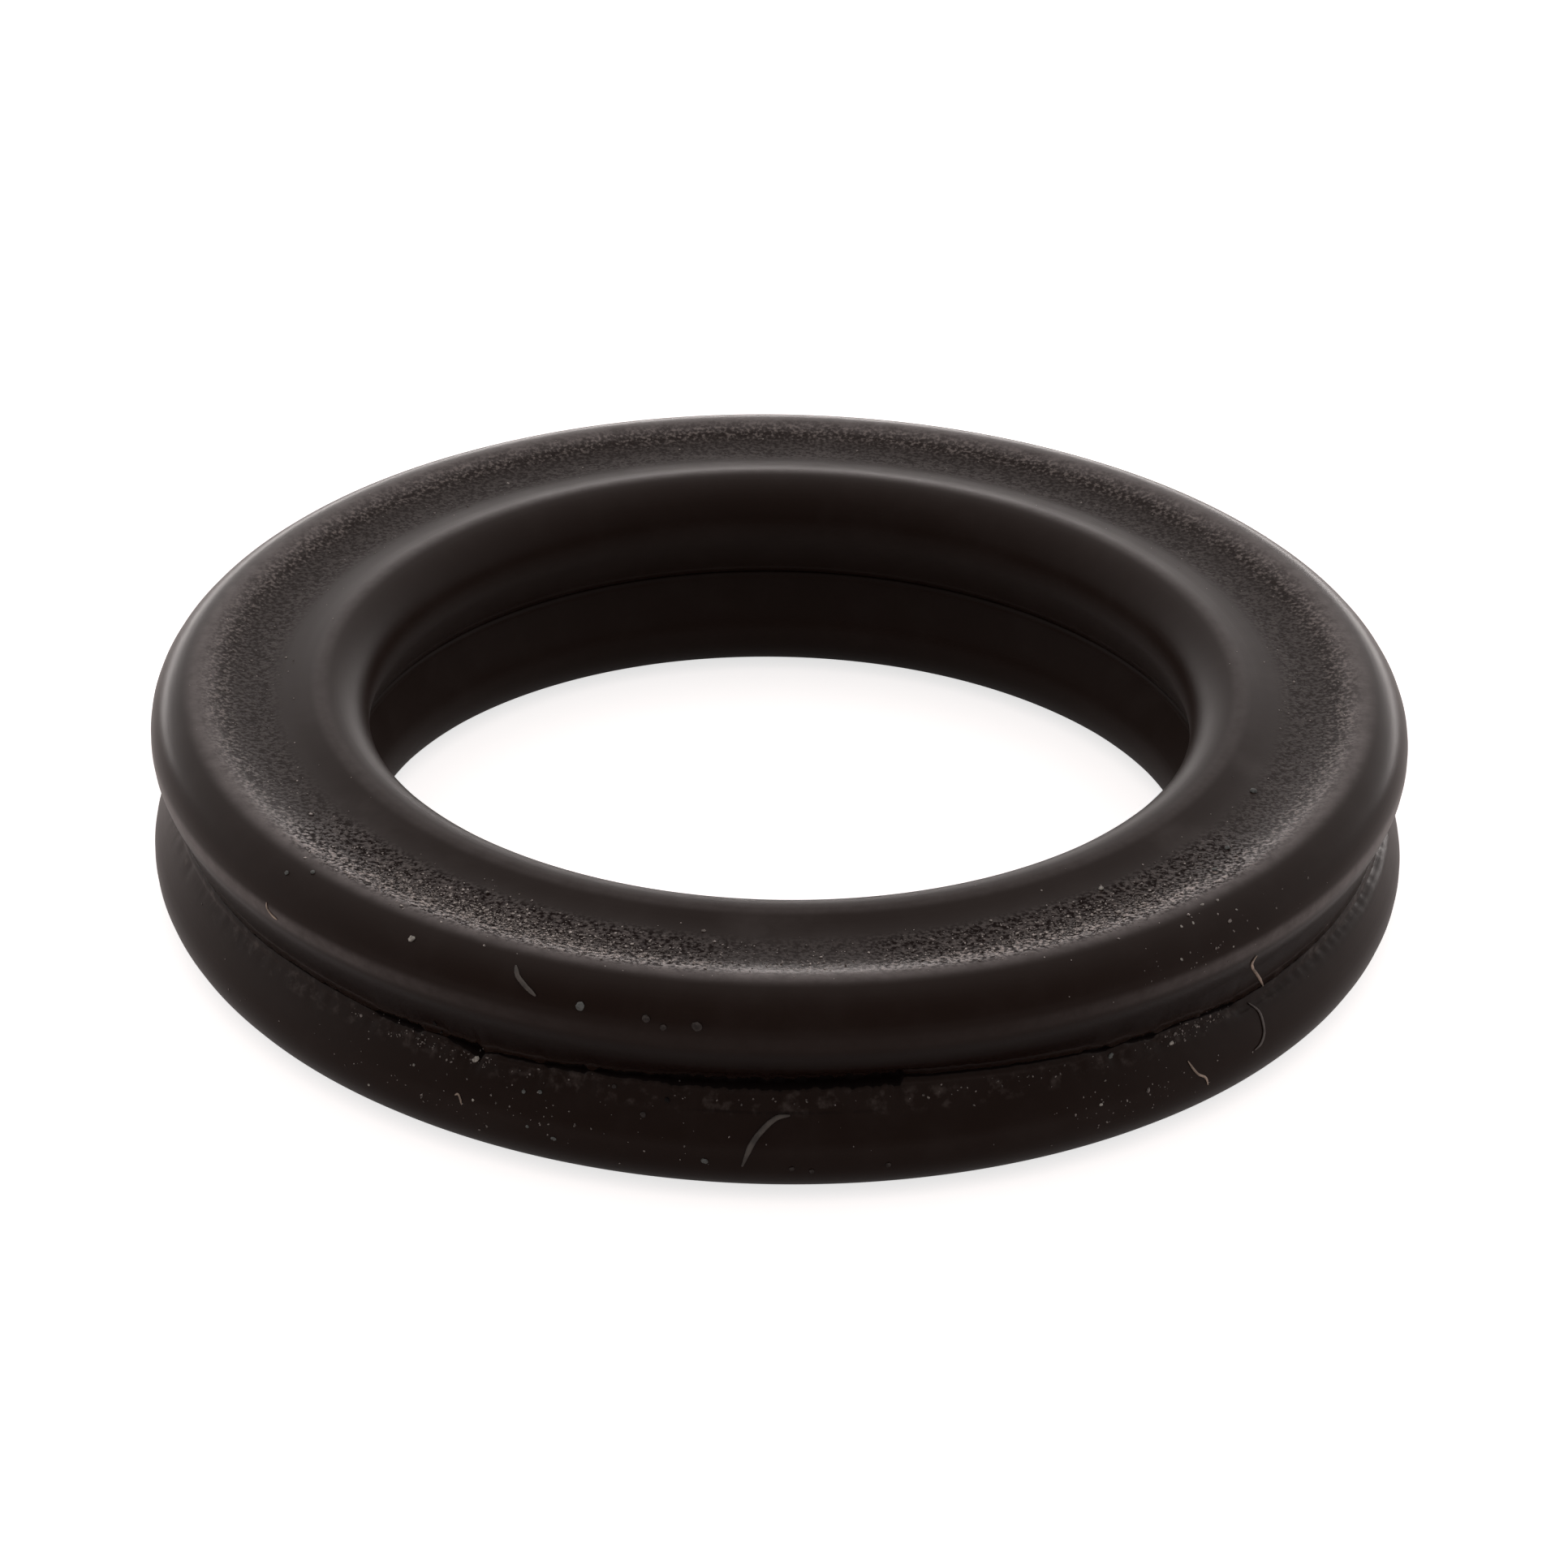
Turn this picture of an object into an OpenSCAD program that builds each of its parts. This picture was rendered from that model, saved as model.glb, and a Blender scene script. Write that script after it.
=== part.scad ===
// Four-lobed seal ring (quad ring), moulded in one piece from soft rubber.
// The section is square, with a round lobe at each corner. The grooves on the
// two flat sides are shallow dishes. The outer and the inner groove are deeper,
// with straight flanks and a round root. The mould parts on the middle plane,
// where a sharp crease runs round the root of the outer and the inner groove.
// The ring lies flat on its two lower lobes, with its axis on Z.

/* [Ring] */
// Inside diameter, across the crests of the inner lobes
bore_d = 13.70; // [10:0.05:40]
// Side of the square section, the same across and along the axis
section = 3.62; // [3.4:0.01:4.2]

/* [Lobes] */
// Radius of the round lobe at each corner of the section
lobe_r = 0.75; // [0.65:0.01:0.85]
// Width of the narrow sealing land on the crest of each lobe
land_w = 0.20; // [0.1:0.01:0.3]

/* [Grooves] */
// Depth of the shallow dish on each flat side
dish_depth = 0.15; // [0.1:0.01:0.4]
// Slope of the flanks of the outer and inner grooves, from the axis
flank_angle = 26; // [16:1:34]
// Radius at the root of the outer and inner grooves
root_r = 0.30; // [0.2:0.01:0.6]

/* [Parting line] */
// Depth of the crease, from the root of its groove
crease_depth = 0.16; // [0.05:0.01:0.3]
// Width of the crease at its mouth
crease_w = 0.12; // [0.05:0.01:0.2]

/* [Hidden] */
$fn = 96;

half = section / 2;
ring_r = bore_d / 2 + half;

// Each lobe is centred so that its land is level with the side of the section.
lobe_c = half - sqrt(lobe_r * lobe_r - land_w * land_w / 4);

// Round cuts are this much too large, so that each one bites into its neighbour.
bite = 0.0005;

// A dish is the circle that touches two lobes and the bottom of the dish.
rise = half - dish_depth - lobe_c;
dish_r = (lobe_c * lobe_c + rise * rise - lobe_r * lobe_r) / (2 * (lobe_r - rise));
dish_c = half - dish_depth + dish_r;
dish_x = lobe_c * dish_r / (lobe_r + dish_r);

// A flank leaves its lobe at the slope of the flank and runs on to the root.
flank_x = lobe_c + (lobe_r - bite) * cos(flank_angle);
flank_y = lobe_c - (lobe_r - bite) * sin(flank_angle);
root_c = (lobe_c * (cos(flank_angle) - sin(flank_angle)) + lobe_r + root_r) / cos(flank_angle);
root_x = root_c - root_r * cos(flank_angle);
root_y = root_r * sin(flank_angle);

// The crease runs in from the bottom of the root, and is cut from outside it.
crease_tip = root_c - root_r - crease_depth;
crease_y = crease_w / 2 * (half - crease_tip) / crease_depth;

// Draws its children on both sides of the middle of the section.
module both_sides() {
    for (turn = [0, 180]) rotate(turn) children();
}

// The four round lobes.
module lobes() {
    both_sides() {
        translate([lobe_c, lobe_c]) circle(r = lobe_r);
        translate([lobe_c, -lobe_c]) circle(r = lobe_r);
    }
}

// The middle of the section, out to the flanks and the bottoms of the grooves.
module web() {
    difference() {
        polygon([
            [dish_x, half], [-dish_x, half], [-dish_x, lobe_c], [-flank_x, flank_y],
            [-root_x, root_y], [-root_x, -root_y], [-flank_x, -flank_y], [-dish_x, -lobe_c],
            [-dish_x, -half], [dish_x, -half], [dish_x, -lobe_c], [flank_x, -flank_y],
            [root_x, -root_y], [root_x, root_y], [flank_x, flank_y], [dish_x, lobe_c],
        ]);
        both_sides() translate([0, dish_c]) circle(r = dish_r + bite);
        both_sides() translate([root_c, 0]) circle(r = root_r + bite);
    }
}

// The whole section, with the crest of each lobe cut level as a sealing land.
module quad_section() {
    intersection() {
        union() {
            web();
            lobes();
        }
        square(section, center = true);
    }
}

// The two creases of the parting line, each a narrow V.
module crease_section() {
    both_sides() polygon([[crease_tip, 0], [half, -crease_y], [half, crease_y]]);
}

// Turns a flat section about the axis of the ring.
module turned() {
    rotate_extrude() translate([ring_r, half]) children();
}

module seal_ring() {
    color([0.09, 0.08, 0.07]) difference() {
        turned() quad_section();
        turned() crease_section();
    }
}

seal_ring();
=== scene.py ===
"""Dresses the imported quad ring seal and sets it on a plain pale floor.

The rubber ring is spun from the same named sizes as the part's source. Its
parting crease strays, opens and closes as a torn mould line does, and dust
and lint lie on it. Lengths are in metres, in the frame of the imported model,
where a class doesn't say that they are in millimetres.
"""

import logging
import math
import random
from dataclasses import dataclass
from enum import Enum
from typing import Any, Sequence, Union

import bmesh
import bpy
from mathutils import Euler, Matrix, Vector, noise
from mathutils.bvhtree import BVHTree


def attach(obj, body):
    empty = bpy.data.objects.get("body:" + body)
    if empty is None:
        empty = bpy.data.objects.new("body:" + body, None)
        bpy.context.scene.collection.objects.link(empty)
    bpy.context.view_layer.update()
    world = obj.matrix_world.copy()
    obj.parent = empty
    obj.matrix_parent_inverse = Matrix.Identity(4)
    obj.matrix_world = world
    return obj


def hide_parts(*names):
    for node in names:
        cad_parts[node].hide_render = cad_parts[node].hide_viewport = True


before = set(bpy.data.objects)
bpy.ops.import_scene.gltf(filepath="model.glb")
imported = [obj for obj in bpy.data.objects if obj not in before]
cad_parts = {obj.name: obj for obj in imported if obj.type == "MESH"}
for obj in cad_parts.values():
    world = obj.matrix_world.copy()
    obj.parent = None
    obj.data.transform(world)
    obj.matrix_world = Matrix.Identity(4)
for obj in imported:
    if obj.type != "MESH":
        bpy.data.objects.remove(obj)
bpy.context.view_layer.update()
MM = 0.001
LOG = logging.getLogger("quad_ring")

Number = Union[int, float]
Span = tuple[float, float]
Colour = tuple[float, float, float]


# --------------------------------------------------------------------------
# Shader tools
# --------------------------------------------------------------------------


class Sock:
    """An output socket that Python operators can work on."""

    def __init__(self, shader: "Shader", socket: bpy.types.NodeSocket) -> None:
        """Wraps a socket.

        Args:
            shader: The shader that holds the socket's node.
            socket: The output socket itself.
        """
        self.shader = shader
        self.socket = socket

    def _math(self, operation: str, *values: Any) -> "Sock":
        """Adds one Math node and returns its result."""
        return self.shader.add("ShaderNodeMath", {"operation": operation}, dict(enumerate(values)))

    def __add__(self, other: Any) -> "Sock":
        """self + other."""
        return self._math("ADD", self, other)

    __radd__ = __add__

    def __mul__(self, other: Any) -> "Sock":
        """self * other."""
        return self._math("MULTIPLY", self, other)

    __rmul__ = __mul__

    def __sub__(self, other: Any) -> "Sock":
        """self - other."""
        return self._math("SUBTRACT", self, other)

    def __rsub__(self, other: Any) -> "Sock":
        """other - self."""
        return self._math("SUBTRACT", other, self)

    def __truediv__(self, other: Any) -> "Sock":
        """self / other."""
        return self._math("DIVIDE", self, other)

    def __abs__(self) -> "Sock":
        """abs(self)."""
        return self._math("ABSOLUTE", self)

    def sqrt(self) -> "Sock":
        """The square root."""
        return self._math("SQRT", self)

    def most(self, other: Any) -> "Sock":
        """The larger of the two values."""
        return self._math("MAXIMUM", self, other)

    def least(self, other: Any) -> "Sock":
        """The smaller of the two values."""
        return self._math("MINIMUM", self, other)

    def ramp(self, low: Any, high: Any, to_low: Number = 0.0, to_high: Number = 1.0) -> "Sock":
        """Maps the value smoothly from one span to another.

        Args:
            low: The value that gives to_low.
            high: The value that gives to_high.
            to_low: The result at and beyond low.
            to_high: The result at and beyond high.

        Returns:
            The mapped value.
        """
        spans = {"From Min": low, "From Max": high, "To Min": to_low, "To Max": to_high}
        return self.shader.add(
            "ShaderNodeMapRange", {"interpolation_type": "SMOOTHSTEP"}, {"Value": self, **spans}
        )

    def band(self, centre: Number, half_width: Number, soft: Number) -> "Sock":
        """1 within half_width of centre, and 0 beyond a soft edge."""
        return abs(self - centre).ramp(half_width + soft, half_width)


class Shader:
    """A node tree that is built from expressions."""

    def __init__(self, owner: Union[bpy.types.Material, bpy.types.World]) -> None:
        """Empties the owner's node tree.

        Args:
            owner: The material or world whose nodes are made.
        """
        owner.use_nodes = True
        self.tree = owner.node_tree
        self.tree.nodes.clear()

    def node(self, kind: str, settings: dict[str, Any], inputs: dict[Any, Any]) -> bpy.types.Node:
        """Adds a node.

        Args:
            kind: The node's type.
            settings: Its properties, which are set first.
            inputs: Values, or outputs to link, by the name or number of the socket.

        Returns:
            The new node.
        """
        made = self.tree.nodes.new(kind)
        for name, value in settings.items():
            setattr(made, name, value)
        for name, value in inputs.items():
            target = made.inputs[name]
            if isinstance(value, Sock):
                self.tree.links.new(value.socket, target)
            elif isinstance(value, tuple) and target.type == "RGBA":
                target.default_value = (*value, 1.0)
            else:
                target.default_value = value
        return made

    def add(
        self,
        kind: str,
        settings: dict[str, Any],
        inputs: dict[Any, Any],
        output: Union[int, str] = 0,
    ) -> Sock:
        """Adds a node and returns one of its outputs, wrapped."""
        return Sock(self, self.node(kind, settings, inputs).outputs[output])

    def mix(self, low: Any, high: Any, share: Any) -> Sock:
        """A colour between low and high, where share is 0 at low and 1 at high."""
        made = self.node("ShaderNodeMix", {"data_type": "RGBA"}, {0: share, 6: low, 7: high})
        return Sock(self, made.outputs[2])

    def place(self) -> Sock:
        """The point's place on its object."""
        return self.add("ShaderNodeTexCoord", {}, {}, "Object")

    def parts(self, vector: Sock) -> tuple[Sock, Sock, Sock]:
        """The three components of a vector."""
        x, y, z = self.node("ShaderNodeSeparateXYZ", {}, {0: vector}).outputs
        return Sock(self, x), Sock(self, y), Sock(self, z)

    def grain(self, vector: Sock, size: float, detail: float = 2.0, rough: float = 0.5) -> Sock:
        """Noise from 0 to 1 whose features are about size across, in metres."""
        return self.add(
            "ShaderNodeTexNoise",
            {},
            {"Vector": vector, "Scale": 1.0 / size, "Detail": detail, "Roughness": rough},
        )

    def bump(self, height: Sock, depth: float, below: Union[Sock, None] = None) -> Sock:
        """Bumps the surface by a height map that is depth metres deep.

        Args:
            height: The height map, from 0 to 1.
            depth: How deep the map is, in metres.
            below: The bumped normal that this one adds to, if there is one.

        Returns:
            The bumped normal.
        """
        inputs: dict[Any, Any] = {"Height": height, "Strength": 1.0, "Distance": depth}
        if below is not None:
            inputs["Normal"] = below
        return self.add("ShaderNodeBump", {}, inputs)

    def surface(self, shader: Sock) -> None:
        """Sends a shader to the material's surface."""
        self.node("ShaderNodeOutputMaterial", {}, {"Surface": shader})


# --------------------------------------------------------------------------
# Shared tools
# --------------------------------------------------------------------------


def smooth(share: float) -> float:
    """Eases a share from 0 to 1 in and out."""
    return share * share * (3 - 2 * share)


def catmull(before: float, here: float, there: float, after: float, share: float) -> float:
    """A smooth value between here and there, led by their neighbours.

    Args:
        before: The value before here.
        here: The value at a share of 0.
        there: The value at a share of 1.
        after: The value after there.
        share: How far it is from here to there.

    Returns:
        The value at that share.
    """
    bend = 2 * before - 5 * here + 4 * there - after
    twist = 3 * (here - there) + after - before
    return here + 0.5 * share * ((there - before) + share * (bend + share * twist))


def finish_piece(
    name: str, bm: bmesh.types.BMesh, material: bpy.types.Material
) -> bpy.types.Object:
    """Turns a mesh in the making into a finished piece of the object.

    Args:
        name: The piece's name.
        bm: The mesh, in place, which is freed.
        material: The piece's material.

    Returns:
        The new object, which rides with the ring.
    """
    mesh = bpy.data.meshes.new(name)
    bm.to_mesh(mesh)
    bm.free()
    mesh.polygons.foreach_set("use_smooth", [True] * len(mesh.polygons))
    mesh.materials.append(material)
    piece = bpy.data.objects.new(name, mesh)
    bpy.context.scene.collection.objects.link(piece)
    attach(piece, "root")
    return piece


# --------------------------------------------------------------------------
# Sizes of the ring
# --------------------------------------------------------------------------


@dataclass(frozen=True)
class RingSizes:
    """The sizes of the moulded ring, as the part's source names them."""

    bore_d: float = 13.70 * MM
    section: float = 3.62 * MM
    lobe_r: float = 0.75 * MM
    land_w: float = 0.20 * MM
    dish_depth: float = 0.15 * MM
    flank_angle: float = math.radians(26)
    root_r: float = 0.30 * MM
    crease_depth: float = 0.16 * MM
    crease_w: float = 0.12 * MM

    @property
    def half(self) -> float:
        """Half the side of the section."""
        return self.section / 2

    @property
    def ring_r(self) -> float:
        """Radius of the circle through the middle of the section."""
        return self.bore_d / 2 + self.half

    @property
    def outer_r(self) -> float:
        """Outside radius of the ring."""
        return self.bore_d / 2 + self.section

    @property
    def lobe_c(self) -> float:
        """Distance of each lobe's centre from the middle of the section."""
        return self.half - math.sqrt(self.lobe_r**2 - self.land_w**2 / 4)

    @property
    def dish_r(self) -> float:
        """Radius of the shallow dish on each flat side."""
        rise = self.half - self.dish_depth - self.lobe_c
        return (self.lobe_c**2 + rise**2 - self.lobe_r**2) / (2 * (self.lobe_r - rise))

    @property
    def dish_c(self) -> float:
        """Distance of a dish's centre from the middle of the section."""
        return self.half - self.dish_depth + self.dish_r

    @property
    def root_c(self) -> float:
        """Distance of a root's centre from the middle of the section."""
        cos, sin = math.cos(self.flank_angle), math.sin(self.flank_angle)
        return (self.lobe_c * (cos - sin) + self.lobe_r + self.root_r) / cos


# --------------------------------------------------------------------------
# The rubber ring
# --------------------------------------------------------------------------


@dataclass(frozen=True)
class Tear:
    """A stretch of the outer crease that stands open, from start to end in degrees.

    The lifts are its heights above the middle plane, and the mouths its
    widths, at the start and at the end, in millimetres. Each end takes some
    degrees to open.
    """

    start: float
    end: float
    lifts: tuple[float, float]
    mouths: tuple[float, float]
    opens_in: float = 0.45

    def width(self, azimuth: float) -> float:
        """The width at an azimuth: it rises steeply from each end.

        Args:
            azimuth: The direction from the axis, in degrees.

        Returns:
            The width, which is 0 outside the tear.
        """
        share = (azimuth - self.start) / (self.end - self.start)
        if not 0.0 < share < 1.0:
            return 0.0
        steep = min(1.0, min(azimuth - self.start, self.end - azimuth) / self.opens_in)
        return (self.mouths[0] + share * (self.mouths[1] - self.mouths[0])) * math.sqrt(steep)


@dataclass(frozen=True)
class Opening:
    """The crease at one azimuth: its lift, its two lips and its depth."""

    lift: float
    upper: float
    lower: float
    depth: float


@dataclass(frozen=True)
class CreaseTear:
    """How the parting crease strays and tears open round the outer side.

    The hairline, the stray, the chance tears and the least depth are in
    millimetres. The scales are those of noise round a circle of radius 1, and
    the layers keep one noise apart from the next.
    """

    tears: tuple[Tear, ...]
    hairline: float = 0.035
    stray: float = 0.03
    chance_tear: float = 0.10
    least_depth: float = 0.05
    deep: float = 1.15
    deep_spread: float = 0.3
    ragged: float = 0.45
    least_lip: float = 0.2
    slow_scale: float = 6.0
    rough_scale: float = 55.0
    rough_layer: float = 9.0
    rough_share: float = 0.5
    finer: float = 2.6
    fine_layer: float = 5.0
    least_gap: float = 1e-6

    def _lift(self, azimuth: float) -> float:
        """The lift at an azimuth, led from each tear's end to the next one's start.

        Args:
            azimuth: The direction from the axis, in degrees.

        Returns:
            The height above the middle plane, in millimetres.
        """
        knots = [(-180.0, 0.0), (180.0, 0.0)]
        for tear in self.tears:
            knots += [(tear.start, tear.lifts[0]), (tear.end, tear.lifts[1])]
        knots.sort()
        for (left, low), (right, high) in zip(knots, knots[1:]):
            if left <= azimuth <= right:
                gap = max(right - left, self.least_gap)
                return low + (high - low) * (azimuth - left) / gap
        return 0.0

    def opening(self, azimuth: float) -> Opening:
        """Works out the crease at an azimuth.

        Args:
            azimuth: The direction from the axis, in radians.

        Returns:
            The crease there, in metres.
        """
        ring = Vector((math.cos(azimuth), math.sin(azimuth), 0.0))
        slow = noise.noise(ring * self.slow_scale)
        rough = [
            noise.noise(ring * self.rough_scale + Vector((0, 0, self.rough_layer * layer)))
            for layer in (1, 2, 3)
        ]
        finer = ring * self.rough_scale * self.finer
        fine = [
            noise.noise(finer + Vector((0, 0, self.fine_layer * layer))) for layer in (1, 2)
        ]
        waver = slow + self.rough_share * rough[2]
        degrees = math.degrees(azimuth)
        torn = max(tear.width(degrees) for tear in self.tears)
        torn = max(torn, self.chance_tear * max(0.0, waver))
        wide = max(self.hairline * (1.0 + rough[2]), torn)
        upper = wide / 2 * max(self.least_lip, 1.0 + self.ragged * (rough[0] + fine[0]))
        lower = wide / 2 * max(self.least_lip, 1.0 + self.ragged * (rough[1] + fine[1]))
        lift = self._lift(degrees) + self.stray * waver
        depth = max(self.least_depth, wide * self.deep * (1.0 + self.deep_spread * rough[2]))
        return Opening(lift * MM, upper * MM, lower * MM, depth * MM)


@dataclass
class RubberRing:
    """The moulded rubber ring, spun about its axis from one section.

    The reach is how far from the middle plane the torn crease draws the rows
    with it. The columns crowd together at one azimuth. The inner crease gapes
    by a share of its moulded width. A row belongs to the crease where it lies
    within the crease's mouth, with a little slack.
    """

    sizes: RingSizes
    tear: CreaseTear
    quarter_steps: int = 225
    dish_steps: int = 5
    lobe_steps: int = 13
    flank_steps: int = 5
    root_steps: int = 2
    crease_steps: int = 2
    reach: float = 0.45 * MM
    crowd: float = 0.62
    crowd_at: float = math.radians(-88)
    inner_gape: float = 0.3
    mouth_slack: float = 1.01
    mirror_weld: float = 1e-7
    last_weld: float = 1e-8

    def _arc(
        self,
        bm: bmesh.types.BMesh,
        start: bmesh.types.BMVert,
        centre: Vector,
        angle: float,
        steps: int,
    ) -> bmesh.types.BMVert:
        """Spins a vertex into an arc.

        Args:
            bm: The mesh that holds the section.
            start: The vertex that the arc starts from.
            centre: The arc's centre, in the plane of the section.
            angle: The angle that the arc turns through, clockwise from the front.
            steps: How many edges the arc has.

        Returns:
            The vertex at the arc's end.
        """
        spun = bmesh.ops.spin(
            bm, geom=[start], cent=centre, axis=(0, 1, 0), angle=angle, steps=steps
        )
        return spun["geom_last"][0]

    def _line(
        self, bm: bmesh.types.BMesh, start: bmesh.types.BMVert, end: Vector, steps: int
    ) -> bmesh.types.BMVert:
        """Extrudes a vertex along a straight line, in equal steps.

        Args:
            bm: The mesh that holds the section.
            start: The vertex that the line starts from.
            end: Where the line ends.
            steps: How many edges the line has.

        Returns:
            The vertex at the line's end.
        """
        stride = (end - start.co) / steps
        for _ in range(steps):
            grown = bmesh.ops.extrude_vert_indiv(bm, verts=[start])
            start = grown["verts"][0]
            bmesh.ops.translate(bm, verts=[start], vec=stride)
        return start

    def _section(self, bm: bmesh.types.BMesh) -> None:
        """Draws a quarter of the section and mirrors it twice.

        Args:
            bm: The empty mesh that the section is drawn in.
        """
        s = self.sizes
        dish_c, lobe_c = Vector((0, 0, s.dish_c)), Vector((s.lobe_c, 0, s.lobe_c))
        root_c = Vector((s.root_c, 0, 0))
        meet = math.atan2(s.lobe_c, s.dish_c - s.lobe_c)
        mouth = math.asin(s.crease_w / 2 / s.root_r)
        tip = Vector((s.root_c - s.root_r - s.crease_depth, 0, 0))
        cos, sin = math.cos(s.flank_angle), math.sin(s.flank_angle)
        at = bmesh.ops.create_vert(bm, co=(0, 0, s.half - s.dish_depth))["vert"][0]
        at = self._arc(bm, at, dish_c, -meet, self.dish_steps)
        at = self._arc(bm, at, lobe_c, math.pi / 2 + meet + s.flank_angle, self.lobe_steps)
        at = self._line(bm, at, root_c + s.root_r * Vector((-cos, 0, sin)), self.flank_steps)
        at = self._arc(bm, at, root_c, mouth - s.flank_angle, self.root_steps)
        self._line(bm, at, tip, self.crease_steps)
        for axis in ("Z", "X"):
            half = bm.verts[:] + bm.edges[:]
            bmesh.ops.mirror(bm, geom=half, axis=axis, merge_dist=self.mirror_weld)
        bmesh.ops.translate(bm, verts=bm.verts[:], vec=(s.ring_r, 0, s.half))

    def _level_lands(self, bm: bmesh.types.BMesh) -> None:
        """Cuts each lobe's crest level, as its narrow sealing land.

        Args:
            bm: The mesh that holds the section, in its place beside the axis.
        """
        s = self.sizes
        for vert in bm.verts:
            vert.co.x = min(max(vert.co.x, s.bore_d / 2), s.outer_r)
            vert.co.z = min(max(vert.co.z, 0.0), s.section)

    def _crowd_columns(self, bm: bmesh.types.BMesh) -> None:
        """Draws the columns of vertices closer together where the crease is torn most.

        Args:
            bm: The mesh that holds the whole ring.
        """
        for vert in bm.verts:
            radius = math.hypot(vert.co.x, vert.co.y)
            azimuth = math.atan2(vert.co.y, vert.co.x)
            azimuth -= self.crowd * math.sin(azimuth - self.crowd_at)
            vert.co.x, vert.co.y = radius * math.cos(azimuth), radius * math.sin(azimuth)

    def _tear_crease(self, bm: bmesh.types.BMesh) -> None:
        """Moves the rows near the outer crease so that it strays and stands open.

        Args:
            bm: The mesh that holds the whole ring.
        """
        s = self.sizes
        mouth = s.crease_w / 2
        columns: dict[float, Opening] = {}
        for vert in bm.verts:
            off = vert.co.z - s.half
            radius = math.hypot(vert.co.x, vert.co.y)
            if abs(off) > self.reach or radius < s.ring_r:
                continue
            azimuth = math.atan2(vert.co.y, vert.co.x)
            key = round(azimuth, 5)
            if key not in columns:
                columns[key] = self.tear.opening(azimuth)
            at = columns[key]
            lip = at.upper if off > 0 else at.lower
            if abs(off) <= mouth * self.mouth_slack:
                share = abs(off) / mouth
                vert.co.z = s.half + at.lift + math.copysign(share * lip, off)
                scale = 1.0 + (1.0 - share) * (s.crease_depth - at.depth) / radius
                vert.co.x *= scale
                vert.co.y *= scale
            else:
                near = smooth(1.0 - (abs(off) - mouth) / (self.reach - mouth))
                vert.co.z += (at.lift + math.copysign(lip - mouth, off)) * near

    def _close_inner_crease(self, bm: bmesh.types.BMesh) -> None:
        """Draws the inner crease, which is hardly torn, together to a hairline.

        Args:
            bm: The mesh that holds the whole ring.
        """
        s = self.sizes
        mouth = s.crease_w / 2
        for vert in bm.verts:
            off = vert.co.z - s.half
            inner = math.hypot(vert.co.x, vert.co.y) < s.ring_r
            if inner and abs(off) <= mouth * self.mouth_slack:
                vert.co.z = s.half + off * self.inner_gape

    def build(self) -> bpy.types.Object:
        """Spins the section and dresses the ring.

        Returns:
            The ring as one closed mesh.
        """
        bm = bmesh.new()
        self._section(bm)
        self._level_lands(bm)
        bmesh.ops.spin(
            bm,
            geom=bm.verts[:] + bm.edges[:],
            cent=(0, 0, 0),
            axis=(0, 0, 1),
            angle=math.pi / 2,
            steps=self.quarter_steps,
        )
        for axis in ("X", "Y"):
            half = bm.verts[:] + bm.edges[:] + bm.faces[:]
            bmesh.ops.mirror(bm, geom=half, axis=axis, merge_dist=self.mirror_weld)
        self._crowd_columns(bm)
        self._tear_crease(bm)
        self._close_inner_crease(bm)
        bmesh.ops.remove_doubles(bm, verts=bm.verts[:], dist=self.last_weld)
        bmesh.ops.recalc_face_normals(bm, faces=bm.faces[:])
        ring = finish_piece("rubber_ring", bm, SealRubber(self.sizes).material())
        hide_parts("seal_ring")
        return ring


# --------------------------------------------------------------------------
# Dust and lint
# --------------------------------------------------------------------------


class Facing(Enum):
    """Which way the ring's surface is looked for."""

    SIDE = "side"
    TOP = "top"


class Skin:
    """The finished surface of the ring, on which dust and lint are laid."""

    def __init__(self, ring: bpy.types.Object, sizes: RingSizes) -> None:
        """Builds a search tree of the ring's faces.

        Args:
            ring: The finished ring.
            sizes: The ring's sizes.
        """
        self.sizes = sizes
        bm = bmesh.new()
        bm.from_mesh(ring.data)
        self.tree = BVHTree.FromBMesh(bm)
        bm.free()

    def at(self, facing: Facing, azimuth: float, where: float) -> tuple[Vector, Vector]:
        """Finds a point of the surface.

        Args:
            facing: SIDE for the outer side, or TOP for the upper side.
            azimuth: The direction from the axis, in degrees.
            where: The height of a point on the side, or the radius of one on top.

        Returns:
            The point and the outward normal there.
        """
        turn = math.radians(azimuth)
        out = Vector((math.cos(turn), math.sin(turn), 0.0))
        if facing is Facing.SIDE:
            start = out * self.sizes.outer_r * 2 + Vector((0, 0, where))
            aim = -out
        else:
            start = out * where + Vector((0, 0, self.sizes.section * 2))
            aim = Vector((0, 0, -1))
        point, normal, _, _ = self.tree.ray_cast(start, aim)
        return point, normal


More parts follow.
